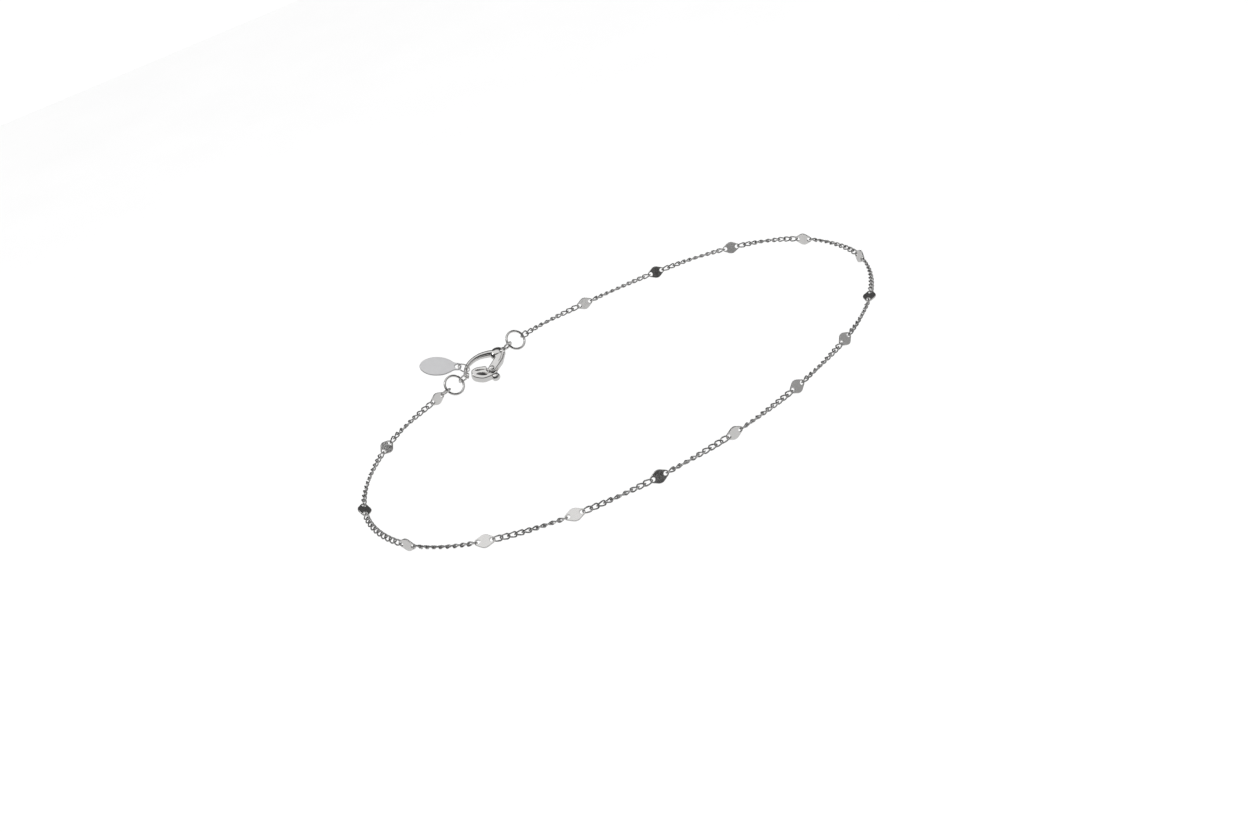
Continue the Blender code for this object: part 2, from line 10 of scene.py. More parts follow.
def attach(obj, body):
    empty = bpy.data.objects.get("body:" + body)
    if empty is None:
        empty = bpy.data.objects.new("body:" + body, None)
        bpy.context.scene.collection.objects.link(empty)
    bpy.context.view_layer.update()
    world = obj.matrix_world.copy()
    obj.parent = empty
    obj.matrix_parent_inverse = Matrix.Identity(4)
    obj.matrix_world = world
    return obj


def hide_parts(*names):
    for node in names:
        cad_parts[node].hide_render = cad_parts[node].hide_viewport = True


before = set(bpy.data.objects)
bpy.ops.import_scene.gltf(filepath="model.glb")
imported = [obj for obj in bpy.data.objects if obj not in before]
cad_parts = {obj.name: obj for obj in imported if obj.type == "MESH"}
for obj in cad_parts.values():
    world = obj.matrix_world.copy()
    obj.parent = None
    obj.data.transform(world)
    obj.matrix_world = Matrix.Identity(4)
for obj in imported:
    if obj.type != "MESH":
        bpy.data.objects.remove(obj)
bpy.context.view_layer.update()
print("frame loaded:", len(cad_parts), "nodes")

# Sizes are in millimetres; every piece is scaled to metres when it is set in place
metresPerMm = 0.001
bodyName = "body"
leverName = "lever"
mergeDistance = 0.0001
quarter = math.pi / 2


def addNode(tree, kind, **values):
    node = tree.nodes.new(kind)
    for key, value in values.items():
        if key in node.inputs:
            node.inputs[key].default_value = value
        else:
            setattr(node, key, value)
    return node


def silverMaterial(name, look):
    # polished metal: slow colour drift, uneven gloss, fine wear lines and soft dents
    material = bpy.data.materials.new(name)
    material.use_nodes = True
    tree = material.node_tree
    shader = tree.nodes["Principled BSDF"]
    shader.inputs["Metallic"].default_value = 1.0
    place = addNode(tree, "ShaderNodeTexCoord")

    drift = addNode(tree, "ShaderNodeTexNoise", Scale=look["driftScale"], Detail=3.0)
    tree.links.new(place.outputs["Object"], drift.inputs["Vector"])
    tint = addNode(tree, "ShaderNodeMix", data_type="RGBA")
    tint.inputs["A"].default_value = (*look["colour"], 1.0)
    tint.inputs["B"].default_value = (*look["shade"], 1.0)
    tree.links.new(drift.outputs["Fac"], tint.inputs["Factor"])
    tree.links.new(tint.outputs["Result"], shader.inputs["Base Color"])

    gloss = addNode(tree, "ShaderNodeTexNoise", Scale=look["glossScale"], Detail=5.0)
    tree.links.new(place.outputs["Object"], gloss.inputs["Vector"])
    spread = addNode(tree, "ShaderNodeMapRange")
    spread.inputs["From Min"].default_value = 0.3
    spread.inputs["From Max"].default_value = 0.7
    spread.inputs["To Min"].default_value = look["glossy"]
    spread.inputs["To Max"].default_value = look["dull"]
    tree.links.new(gloss.outputs["Fac"], spread.inputs["Value"])
    tree.links.new(spread.outputs["Result"], shader.inputs["Roughness"])

    stretch = addNode(tree, "ShaderNodeMapping")
    stretch.inputs["Scale"].default_value = look["lineStretch"]
    stretch.inputs["Rotation"].default_value = look["lineTurn"]
    tree.links.new(place.outputs["Object"], stretch.inputs["Vector"])
    lines = addNode(tree, "ShaderNodeTexNoise", Scale=look["lineScale"], Detail=6.0, Roughness=0.6)
    tree.links.new(stretch.outputs["Vector"], lines.inputs["Vector"])
    bump = addNode(tree, "ShaderNodeBump", Strength=look["lineStrength"], Distance=look["lineDepth"])
    tree.links.new(lines.outputs["Fac"], bump.inputs["Height"])
    tree.links.new(bump.outputs["Normal"], shader.inputs["Normal"])
    return material


polishedLook = {
    "colour": (0.90, 0.89, 0.875), "shade": (0.80, 0.79, 0.78), "driftScale": 900.0,
    "glossScale": 2600.0, "glossy": 0.05, "dull": 0.14,
    "lineStretch": (1.0, 1.0, 1.0), "lineTurn": (0.3, 0.2, 0.5), "lineScale": 4200.0,
    "lineStrength": 0.10, "lineDepth": 0.00002,
}
polishedSilver = silverMaterial("polishedSilver", polishedLook)
chainSilver = silverMaterial("chainSilver", {
    **polishedLook, "colour": (0.62, 0.615, 0.61), "shade": (0.44, 0.435, 0.43), "driftScale": 1500.0,
    "glossy": 0.14, "dull": 0.26,
})
discSilver = silverMaterial("discSilver", {
    **polishedLook, "lineScale": 5200.0, "glossy": 0.12, "dull": 0.24,
    "lineStrength": 0.30,
})
claspSilver = silverMaterial("claspSilver", {
    **polishedLook, "driftScale": 600.0, "glossy": 0.04, "dull": 0.11,
})
brushedSilver = silverMaterial("brushedSilver", {
    **polishedLook, "colour": (0.78, 0.78, 0.79), "shade": (0.72, 0.72, 0.73), "driftScale": 500.0,
    "lineStretch": (0.15, 1.0, 1.0), "lineTurn": (0.0, 0.0, math.radians(145)), "lineScale": 14000.0,
    "lineStrength": 0.25, "lineDepth": 0.00001, "glossy": 0.34, "dull": 0.44,
})
print("materials made")


def meshFrom(obj):
    # evaluated mesh of a curve or of an object with modifiers, merged and facing outwards
    bpy.context.view_layer.update()
    graph = bpy.context.evaluated_depsgraph_get()
    mesh = bpy.data.meshes.new_from_object(obj.evaluated_get(graph))
    bpy.data.objects.remove(obj)
    shape = bmesh.new()
    shape.from_mesh(mesh)
    bmesh.ops.remove_doubles(shape, verts=shape.verts, dist=mergeDistance)
    bmesh.ops.recalc_face_normals(shape, faces=shape.faces)
    shape.to_mesh(mesh)
    shape.free()
    return mesh


def meshOf(shape, name):
    bmesh.ops.remove_doubles(shape, verts=shape.verts, dist=mergeDistance)
    bmesh.ops.recalc_face_normals(shape, faces=shape.faces)
    mesh = bpy.data.meshes.new(name)
    shape.to_mesh(mesh)
    shape.free()
    return mesh


def objectOf(mesh, name="shape"):
    obj = bpy.data.objects.new(name, mesh)
    bpy.context.scene.collection.objects.link(obj)
    return obj


def setPiece(mesh, name, matrix, material, body, nodes, sharp=35, flatFaces=False):
    # the finished piece: its place is in its mesh, and its object stays at the origin
    levelFace = 0.999
    smooth = [not (flatFaces and abs(polygon.normal.z) > levelFace) for polygon in mesh.polygons]
    mesh.transform(Matrix.Scale(metresPerMm, 4) @ matrix)
    mesh.name = name
    mesh.materials.clear()
    mesh.materials.append(material)
    mesh.polygons.foreach_set("use_smooth", [True] * len(mesh.polygons))
    mesh.set_sharp_from_angle(angle=math.radians(sharp))
    mesh.polygons.foreach_set("use_smooth", smooth)
    piece = objectOf(mesh, name)
    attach(piece, body)
    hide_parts(*nodes)
    return piece


def wireCurve(points, thickness, closed, resolution, widths=None):
    curve = bpy.data.curves.new("wire", "CURVE")
    curve.dimensions = "3D"
    curve.bevel_depth = thickness / 2
    curve.bevel_resolution = resolution
    curve.use_fill_caps = True
    spline = curve.splines.new("POLY")
    spline.points.add(len(points) - 1)
    for index, point in enumerate(points):
        spline.points[index].co = (*point, 1.0)
        spline.points[index].radius = widths[index] if widths else 1.0
    spline.use_cyclic_u = closed
    return objectOf(curve)


def plateCurve(outlines, thickness, edge):
    # flat plate with rounded edges; the edge rounding stays inside the outline
    curve = bpy.data.curves.new("plate", "CURVE")
    curve.dimensions = "2D"
    curve.fill_mode = "BOTH"
    curve.extrude = thickness / 2 - edge
    curve.bevel_depth = edge
    curve.bevel_resolution = 3
    curve.offset = -edge
    for outline in outlines:
        spline = curve.splines.new("POLY")
        spline.points.add(len(outline) - 1)
        for index, (x, y) in enumerate(outline):
            spline.points[index].co = (x, y, 0.0, 1.0)
        spline.use_cyclic_u = True
    return objectOf(curve)


def circlePoints(radius, centre, sides, first=0.0, last=2 * math.pi, whole=True):
    steps = sides if whole else sides + 1
    angles = [first + (last - first) * step / sides for step in range(steps)]
    return [(centre[0] + radius * math.cos(a), centre[1] + radius * math.sin(a)) for a in angles]


def hullPoints(radius, centre, otherRadius, otherCentre, steps):
    reachX, reachY = otherCentre[0] - centre[0], otherCentre[1] - centre[1]
    reach, heading = math.hypot(reachX, reachY), math.atan2(reachY, reachX)
    lean = math.acos((radius - otherRadius) / reach)
    near = circlePoints(radius, centre, 2 * steps, heading + lean, heading + 2 * math.pi - lean, False)
    far = circlePoints(otherRadius, otherCentre, steps, heading - lean, heading + lean, False)
    return near + far


def ringMesh(innerDiameter, wire, steps, sides):
    # round ring: a wire section spun round its middle
    shape = bmesh.new()
    place = Matrix.Translation(((innerDiameter + wire) / 2, 0, 0)) @ Matrix.Rotation(quarter, 4, "X")
    bmesh.ops.create_circle(shape, cap_ends=False, segments=sides, radius=wire / 2, matrix=place)
    bmesh.ops.spin(
        shape, geom=shape.verts[:] + shape.edges[:], cent=(0, 0, 0), axis=(0, 0, 1),
        angle=2 * math.pi, steps=steps, use_merge=True)
    return meshOf(shape, "ring")


def ovalMesh(innerLength, innerWidth, wire, endSteps, sideSteps, sides, twist=0.0):
    # oval link round its middle: two bends joined by straight sides, then twisted about its length
    shape = bmesh.new()
    bend = (innerWidth + wire) / 2
    half = (innerLength + wire) / 2 - bend
    place = Matrix.Translation((half, -bend, 0)) @ Matrix.Rotation(quarter, 4, "Y")
    section = bmesh.ops.create_circle(
        shape, cap_ends=False, segments=sides, radius=wire / 2, matrix=place)
    last = section["verts"] + shape.edges[:]
    for side in (1, -1):
        last = bmesh.ops.spin(
            shape, geom=last, cent=(side * half, 0, 0), axis=(0, 0, 1), angle=math.pi,
            steps=endSteps)["geom_last"]
        last = bmesh.ops.spin(
            shape, geom=last, cent=(0, 0, 0), axis=(0, 0, 1), angle=0.0,
            dvec=(-side * 2 * half / sideSteps, 0, 0), steps=sideSteps)["geom_last"]
    bmesh.ops.remove_doubles(shape, verts=shape.verts, dist=mergeDistance)
    reach = half + bend + wire / 2
    for vert in shape.verts:
        vert.co = Matrix.Rotation(math.radians(twist) * vert.co.x / reach, 3, "X") @ vert.co
    return meshOf(shape, "link")


# the closed route round the wrist, in millimetres, clockwise from the clasp's own ring
routePoints = [
    (-5.0, 21.0), (6.8, 20.4), (18.4, 18.2), (29.0, 13.9), (36.3, 6.6), (37.6, -3.6),
    (31.6, -12.1), (22.8, -17.0), (12.3, -19.8), (1.8, -20.8), (-9.5, -20.1), (-20.5, -17.6),
    (-29.8, -13.1), (-36.4, -6.2), (-37.2, 4.1), (-29.8, 13.4), (-19.4, 17.8),
]

# one pair for each disc: chain links before it, and its roll about the chain in degrees
stations = [
    (11, 10), (11, 35), (11, 40), (10, 4), (10, 20), (10, 88), (9, 140), (10, 150),
    (10, 176), (10, 160), (10, 112), (10, 112), (9, 174), (10, 60), (12, 45), (10, 2),
]
gap = 0.10


def closedSpline(points, steps):
    knots = np.array(points, dtype=float)
    count = len(knots)
    unit = np.eye(count)
    system = 4 * unit + np.roll(unit, 1, axis=1) + np.roll(unit, -1, axis=1)
    bend = np.linalg.solve(system, 6 * (np.roll(knots, -1, 0) - 2 * knots + np.roll(knots, 1, 0)))
    curve = []
    for index in range(count):
        after = (index + 1) % count
        for step in range(steps):
            t = step / steps
            r = 1 - t
            point = r * knots[index] + t * knots[after]
            curve.append(point + ((r**3 - r) * bend[index] + (t**3 - t) * bend[after]) / 6)
    return np.array(curve)


def openSpline(rows, steps):
    rows = np.array(rows, dtype=float)
    result = []
    for index in range(len(rows) - 1):
        before, after = rows[max(index - 1, 0)], rows[min(index + 2, len(rows) - 1)]
        first, second = rows[index], rows[index + 1]
        for step in range(steps):
            t = step / steps
            curve = 2 * first + (second - before) * t
            curve = curve + (2 * before - 5 * first + 4 * second - after) * t**2
            result.append((curve + (3 * first - before - 3 * second + after) * t**3) / 2)
    result.append(rows[-1])
    return result


def frameFrom(origin, along, face):
    across = face.cross(along).normalized()
    matrix = Matrix((along, across, along.cross(across))).transposed().to_4x4()
    matrix.translation = origin
    return matrix


class ChainRoute:
    def __init__(self, points, length):
        curve = closedSpline(points, 60)
        curve = np.vstack([curve, curve[:1]])
        steps = np.linalg.norm(np.diff(curve, axis=0), axis=1)
        self.curve = curve * (length / steps.sum())
        self.distance = np.concatenate([[0.0], np.cumsum(steps)]) * (length / steps.sum())
        self.length = length

    def point(self, distance):
        place = distance % self.length
        x = np.interp(place, self.distance, self.curve[:, 0])
        y = np.interp(place, self.distance, self.curve[:, 1])
        return Vector((x, y, 0.0))

    def frame(self, start, end, roll):
        origin = self.point(start)
        along = (self.point(end) - origin).normalized()
        inward = Vector((along.y, -along.x, 0.0))
        turn = math.radians(roll)
        return frameFrom(origin, along, math.cos(turn) * inward + math.sin(turn) * Vector((0, 0, 1)))


chainSpec = {
    "pitch": 0.858, "wire": 0.20, "slack": 0.05, "endSlack": 0.12, "innerWidth": 0.42,
    "ringLinkWidth": 0.62, "twist": 48.0, "endSteps": 6, "sideSteps": 2, "sides": 6,
}
discSpec = {
    "diameter": 1.70, "thickness": 0.22, "earOffset": 0.84, "holeDiameter": 0.54, "earRim": 0.15,
    "edge": 0.05,
}
ringSpec = {"innerDiameter": 2.34, "wire": 0.33, "roll": 41.0, "steps": 96, "sides": 20}
linkSpec = {"wire": 0.25, "endLength": 1.25, "endWidth": 0.78, "catchLength": 1.45, "catchWidth": 0.84}
claspReach = 8.25
claspRoll = 65.0

discHold = discSpec["earOffset"] + discSpec["holeDiameter"] / 2
ringHold = ringSpec["innerDiameter"] / 2
discPlaces = []
reached = ringHold
for links, _ in stations:
    reached += links * chainSpec["pitch"] + discHold
    discPlaces.append(reached)
    reached += discHold
reached += linkSpec["endLength"] - 2 * gap
catchRingPlace = reached + ringHold
clawPlace = catchRingPlace + ringHold + linkSpec["catchLength"] - 2 * gap
wholeLength = clawPlace + claspReach - gap + ringHold
route = ChainRoute(routePoints, wholeLength)


def discFrame(distance, roll):
    offset = discSpec["earOffset"]
    matrix = route.frame(distance - offset, distance + offset, roll)
    matrix.translation = (matrix.translation + route.point(distance + offset)) / 2
    return matrix


print("route laid out:", round(wholeLength, 2), "mm round")


claspSideRing = route.frame(catchRingPlace, wholeLength, ringSpec["roll"])
claspSideRing.translation = route.point(wholeLength)
catchSideRing = claspSideRing.copy()
catchSideRing.translation = route.point(catchRingPlace)


def heldByRing():
    # the place inside the clasp's ring where the chain's first link pulls
    towards = claspSideRing.inverted().to_3x3() @ (route.point(ringHold) - claspSideRing.translation)
    return claspSideRing @ (Vector((towards.x, towards.y, 0)).normalized() * ringHold)


def chainLink(innerWidth, slack):
    return ovalMesh(
        chainSpec["pitch"] + slack, innerWidth, chainSpec["wire"],
        chainSpec["endSteps"], chainSpec["sideSteps"], chainSpec["sides"], -chainSpec["twist"])


def makeChain():
    # looser links stand at the ends of a stretch, and a wider one at the clasp's ring
    link = chainLink(chainSpec["innerWidth"], chainSpec["slack"])
    endLink = chainLink(chainSpec["innerWidth"], chainSpec["endSlack"])
    ringLink = chainLink(chainSpec["ringLinkWidth"], chainSpec["endSlack"])
    pitch, twist = chainSpec["pitch"], chainSpec["twist"]
    lastRoll = ringSpec["roll"]
    start = ringHold
    for number, (distance, (count, roll)) in enumerate(zip(discPlaces, stations), start=1):
        # the first link stands across the ring or disc before it, the last across the next disc,
        # and the links between turn the way that keeps them clear of each other
        first = lastRoll + twist
        last = first - (first - (roll - twist)) % 180
        stretch = bmesh.new()
        for index in range(count):
            turn = first + (last - first) * index / (count - 1)
            near = start + index * pitch
            matrix = route.frame(near, near + pitch, turn)
            nearEnd, farEnd = route.point(near), route.point(near + pitch)
            if number == 1 and index == 0:
                nearEnd = heldByRing()
                matrix = frameFrom(nearEnd, (farEnd - nearEnd).normalized(), matrix.col[2].to_3d())
            matrix.translation = (nearEnd + farEnd) / 2
            # the frame's face is across the link's width, so the link is turned to stand on it
            pattern = endLink if index in (0, count - 1) else link
            if number == 1 and index == 0:
                pattern = ringLink
            copy = pattern.copy()
            copy.transform(matrix @ Matrix.Rotation(quarter, 4, "X"))
            stretch.from_mesh(copy)
            bpy.data.meshes.remove(copy)
        mesh = bpy.data.meshes.new("chain")
        stretch.to_mesh(mesh)
        stretch.free()
        name = f"chain_{number:02d}"
        setPiece(mesh, f"curb_links_{number:02d}", Matrix.Identity(4), chainSilver, bodyName,
                 [name], sharp=60)
        lastRoll = roll
        start = distance + discHold
    for mesh in (link, endLink, ringLink):
        bpy.data.meshes.remove(mesh)


makeChain()
print("curb chain made:", sum(count for count, _ in stations), "links")


def discMesh():
    radius, offset = discSpec["diameter"] / 2, discSpec["earOffset"]
    hole = discSpec["holeDiameter"] / 2
    ear = hole + discSpec["earRim"]
    lean = math.acos((radius - ear) / offset)
    outline = circlePoints(ear, (offset, 0), 20, -lean, lean, False)
    outline += circlePoints(radius, (0, 0), 24, lean, math.pi - lean, False)
    outline += circlePoints(ear, (-offset, 0), 20, math.pi - lean, math.pi + lean, False)
    outline += circlePoints(radius, (0, 0), 24, math.pi + lean, 2 * math.pi - lean, False)
    holes = [circlePoints(hole, (side * offset, 0), 28, 2 * math.pi, 0.0) for side in (1, -1)]
    return meshFrom(plateCurve([outline, *holes], discSpec["thickness"], discSpec["edge"]))


discPattern = discMesh()
for number, (distance, (_, roll)) in enumerate(zip(discPlaces, stations), start=1):
    setPiece(discPattern.copy(), f"disc_plate_{number:02d}", discFrame(distance, roll), discSilver,
             bodyName, [f"disc_{number:02d}"], flatFaces=True)
bpy.data.meshes.remove(discPattern)
print("discs made")


for name, matrix, node in (("clasp_side_ring", claspSideRing, "jump_ring"),
                           ("catch_side_ring", catchSideRing, "catch_ring")):
    ring = ringMesh(ringSpec["innerDiameter"], ringSpec["wire"], ringSpec["steps"], ringSpec["sides"])
    setPiece(ring, name, matrix, polishedSilver, bodyName, [node], sharp=60)


def longLink(length, width, matrix, name, node):
    # the link starts with its near inner end at the frame's origin and stands on edge
    mesh = ovalMesh(length, width, linkSpec["wire"], 18, 6, 14)
    middle = Matrix.Translation((length / 2, 0, 0)) @ Matrix.Rotation(quarter, 4, "X")
    setPiece(mesh, name, matrix @ middle, polishedSilver, bodyName, [node], sharp=60)


lastRoll = stations[-1][1]
firstHold = discFrame(discPlaces[-1], lastRoll) @ Vector((discHold - gap, 0, 0))
endFrame = route.frame(discPlaces[-1], catchRingPlace, (lastRoll + ringSpec["roll"]) / 2)
lastHold = catchSideRing.translation - endFrame.col[0].to_3d() * (ringHold - gap)
endFrame = frameFrom(firstHold, (lastHold - firstHold).normalized(), endFrame.col[2].to_3d())
longLink(linkSpec["endLength"], linkSpec["endWidth"], endFrame, "end_link_wire", "end_link")
catchFrame = route.frame(catchRingPlace, wholeLength, claspRoll)
catchFrame.translation = catchFrame @ Vector((ringHold - gap, 0, 0))
longLink(linkSpec["catchLength"], linkSpec["catchWidth"], catchFrame, "catch_link_wire", "catch_link")
print("rings and long links made")


claspSpec = {
    "headThickness": 1.40, "cheekThickness": 1.20, "clawWidth": 0.45, "armRise": 1.40,
    "armDepthRatio": 1.25, "headReach": 5.72, "headDrop": 0.10, "headLength": 2.30, "headWidth": 2.05,
    "neckDiameter": 1.72, "neckEnd": 0.48, "neckDepthRatio": 0.75, "neckEndGap": 0.09,
    "eyeWire": 0.30, "eyeLength": 0.95, "eyeWidth": 0.60, "hingeReach": 3.10, "leverDrop": 1.70,
    "cheekDiameter": 1.10, "elbowDiameter": 1.20, "elbowReach": 5.05, "elbowDrop": 1.05,
    "shoulderDiameter": 1.50, "shoulderReach": 5.90, "shoulderDrop": 0.30, "slotDiameter": 1.84,
    "cheekEdge": 0.16, "bossThickness": 0.62, "pinDiameter": 0.36, "pinClearance": 0.06,
    "recessDepth": 0.34, "ribWidth": 0.15, "ribRise": 0.017, "cutLean": 26.0,
    "recessEdge": 0.02,
    "voxel": 0.04, "smoothing": 6,
}
# lens-shaped recess on the head's faces, by points along and across the clasp
recessOutline = [
    (4.48, -0.20), (4.80, -0.12), (5.15, -0.19), (5.60, -0.46), (5.22, -0.47), (4.84, -0.38),
]
# engraved lines on the cheeks: points along and across the clasp, and a share of the line's width
ribLines = [
    [(6.40, -0.34, 0.3), (6.26, -0.72, 0.8), (5.80, -1.05, 1.0), (5.33, -1.36, 1.0), (4.85, -1.56, 0.8),
     (4.40, -1.69, 0.3)],
    [(6.16, -0.36, 0.3), (6.08, -0.58, 0.8), (5.64, -0.88, 1.0), (5.18, -1.19, 1.0), (4.86, -1.33, 0.8),
     (4.55, -1.42, 0.3)],
]
# outer arm: place along the clasp and rise as shares of its reach and rise, width as a share
armSections = [
    (0.660, 0.10, 2.10), (0.600, 0.44, 2.05), (0.527, 0.68, 1.95), (0.442, 0.89, 1.80),
    (0.352, 0.99, 1.62), (0.255, 0.99, 1.50), (0.164, 0.89, 1.36), (0.085, 0.70, 1.20),
    (0.024, 0.43, 1.08), (-0.026, 0.13, 1.00), (-0.028, -0.13, 0.95), (-0.007, -0.30, 0.85),
]
hinge = Vector((claspSpec["hingeReach"], -claspSpec["leverDrop"], 0))


def armPoint(row):
    return Vector((row[0] * claspReach, row[1] * claspSpec["armRise"], 0))


def claspArm():
    rows = openSpline(armSections, 8)
    points = [armPoint(row) for row in rows]
    arm = meshFrom(wireCurve(points, claspSpec["clawWidth"], False, 6, [row[2] for row in rows]))
    arm.transform(Matrix.Diagonal((1, 1, claspSpec["armDepthRatio"], 1)))
    return objectOf(arm)


def claspEye():
    mesh = ovalMesh(claspSpec["eyeLength"], claspSpec["eyeWidth"], claspSpec["eyeWire"], 18, 4, 14)
    middle = claspReach - claspSpec["eyeLength"] / 2
    mesh.transform(Matrix.Translation((middle, 0, 0)) @ Matrix.Rotation(quarter, 4, "X"))
    return objectOf(mesh)


def claspHead(centre):
    shape = bmesh.new()
    size = (claspSpec["headLength"], claspSpec["headWidth"], claspSpec["headThickness"])
    matrix = Matrix.Translation(centre) @ Matrix.Diagonal((*size, 1))
    bmesh.ops.create_uvsphere(shape, u_segments=48, v_segments=32, radius=0.5, matrix=matrix)
    return objectOf(meshOf(shape, "head"))


def claspNeck(centre):
    length = claspReach - claspSpec["eyeLength"] - claspSpec["neckEndGap"] - centre.x
    shape = bmesh.new()
    middle = Vector((centre.x + length / 2, centre.y / 2, 0))
    place = Matrix.Translation(middle) @ Matrix.Rotation(quarter, 4, "Y")
    bmesh.ops.create_cone(
        shape, cap_ends=True, segments=40, radius1=claspSpec["neckDiameter"] / 2,
        radius2=claspSpec["neckEnd"] / 2, depth=length, matrix=place)
    bmesh.ops.scale(shape, vec=(1, 1, claspSpec["neckDepthRatio"]), verts=shape.verts)
    return objectOf(meshOf(shape, "neck"))


def claspCheeks():
    # solid cheeks from the head round a bend to the hinge, slotted later for the lever
    shoulder = (claspSpec["shoulderReach"], -claspSpec["shoulderDrop"])
    elbow = (claspSpec["elbowReach"], -claspSpec["elbowDrop"])
    bend = claspSpec["elbowDiameter"] / 2
    upper = hullPoints(claspSpec["shoulderDiameter"] / 2, shoulder, bend, elbow, 24)
    lower = hullPoints(bend, elbow, claspSpec["cheekDiameter"] / 2, hinge, 24)
    return [
        objectOf(meshFrom(plateCurve([outline], claspSpec["cheekThickness"], claspSpec["cheekEdge"])))
        for outline in (upper, lower)]


def leanedCutter(outline, depth, face, side, edge):
    # the floor of the cut leans about its length, so that it stays darker than the face
    middle = sum(y for _, y in outline) / len(outline)
    cutter = meshFrom(plateCurve([outline], 2 * depth, edge))
    lean = Matrix.Rotation(side * math.radians(claspSpec["cutLean"]), 4, "X")
    cutter.transform(lean @ Matrix.Translation((0, -middle, 0)))
    cutter.transform(Matrix.Translation((0, middle, side * face)))
    return objectOf(cutter)


def cheekEngraving():
    # a recess and two curved lines are cut into both faces
    cutters = []
    for side in (1, -1):
        outline = [tuple(point) for point in closedSpline(recessOutline, 8)]
        face = claspSpec["headThickness"] / 2
        cutters.append(leanedCutter(outline, claspSpec["recessDepth"], face, side, claspSpec["recessEdge"]))
        for line in ribLines:
            rows = openSpline(line, 6)
            height = claspSpec["cheekThickness"] / 2 + claspSpec["ribRise"]
            points = [(row[0], row[1], side * height) for row in rows]
            widths = [row[2] for row in rows]
            wire = wireCurve(points, claspSpec["ribWidth"], False, 3, widths)
            cutters.append(objectOf(meshFrom(wire)))
    return cutters


def roundStock(diameter, depth, centre, sides):
    shape = bmesh.new()
    bmesh.ops.create_cone(
        shape, cap_ends=True, segments=sides, radius1=diameter / 2, radius2=diameter / 2,
        depth=depth, matrix=Matrix.Translation(centre))
    return objectOf(meshOf(shape, "stock"))


def castTogether(parts, voxel, smoothing):
    # parts join into one soft cast body with filled corners
    base = parts[0]
    for other in parts[1:]:
        join = base.modifiers.new("join", "BOOLEAN")
        join.operation, join.solver, join.object = "UNION", "EXACT", other
        base = objectOf(meshFrom(base))
        bpy.data.objects.remove(other)
    blend = base.modifiers.new("blend", "REMESH")
    blend.mode, blend.voxel_size, blend.adaptivity = "VOXEL", voxel, 0.0
    mesh = meshFrom(base)
    shape = bmesh.new()
    shape.from_mesh(mesh)
    for _ in range(smoothing):
        bmesh.ops.smooth_vert(
            shape, verts=shape.verts, factor=0.5, use_axis_x=True, use_axis_y=True, use_axis_z=True)
    shape.to_mesh(mesh)
    shape.free()
    return objectOf(mesh)


def cutOut(base, cutters):
    for cutter in cutters:
        cut = base.modifiers.new("cut", "BOOLEAN")
        cut.operation, cut.solver, cut.object = "DIFFERENCE", "EXACT", cutter
        base = objectOf(meshFrom(base))
        bpy.data.objects.remove(cutter)
    return base


def takeMesh(obj):
    mesh = obj.data
    bpy.data.objects.remove(obj)
    return mesh


claspFrame = route.frame(catchRingPlace, wholeLength, claspRoll)
claspFrame.translation = claspFrame @ Vector((clawPlace - catchRingPlace, 0, 0))
hingeFrame = claspFrame.copy()
hingeFrame.translation = claspFrame @ hinge


def makeClaspBody():
    centre = Vector((claspSpec["headReach"], -claspSpec["headDrop"], 0))
    parts = [claspHead(centre), claspArm(), claspNeck(centre), claspEye(), *claspCheeks()]
    body = castTogether(parts, claspSpec["voxel"], claspSpec["smoothing"])
    slot = roundStock(claspSpec["slotDiameter"], claspSpec["bossThickness"] + 2 * gap, hinge, 72)
    boreSize = claspSpec["pinDiameter"] + 2 * claspSpec["pinClearance"]
    bore = roundStock(boreSize, 2 * claspSpec["cheekThickness"], hinge, 40)
    body = cutOut(body, [slot, bore, *cheekEngraving()])
    return setPiece(takeMesh(body), "clasp_cast_body", claspFrame, claspSilver, bodyName,
                    ["clasp_body"], sharp=40)


claspPiece = makeClaspBody()
print("clasp body made:", len(claspPiece.data.polygons), "faces")

leverSpec = {
    "bladeThickness": 1.10, "width": 2.00, "tipGap": 0.15, "bossDiameter": 1.00, "rootDiameter": 0.90,
    "rootReach": 1.45, "rootRise": 0.45, "knobLength": 1.25, "knobDiameter": 1.10, "knobDepth": 1.10,
    "knobNeck": 0.80, "knobReach": 1.20, "knobLead": 0.42, "grooveDepth": 0.25, "grooveEdge": 0.05,
    "edge": 0.20, "bossEdge": 0.06, "bossInset": 0.02,
    "voxel": 0.035, "smoothing": 4,
}
# place from the tip (0) to the hinge (1), height above the hinge in shares of the lever's width
bladeOutline = [
    (0.05, 0.79), (0.14, 0.86), (0.30, 0.86), (0.50, 0.775), (0.71, 0.60), (0.87, 0.43), (0.77, 0.23),
    (0.715, 0.0), (0.76, -0.22), (0.87, -0.40), (0.74, -0.48), (0.47, -0.41), (0.20, -0.26),
    (0.01, 0.02), (-0.10, 0.33), (-0.05, 0.61),
]
grooveOutlines = [
    [(0.07, 0.40), (0.22, 0.36), (0.42, 0.20), (0.58, -0.02), (0.64, -0.22), (0.42, -0.14),
     (0.20, 0.10)],
    [(0.22, 0.66), (0.40, 0.58), (0.60, 0.38), (0.66, 0.26), (0.44, 0.40), (0.26, 0.53)],
]


def leverPoints(rows):
    length = hinge.x - gap - linkSpec["wire"] - leverSpec["tipGap"]
    knots = [((along - 1) * length, height * leverSpec["width"]) for along, height in rows]
    return [tuple(point) for point in closedSpline(knots, 10)]


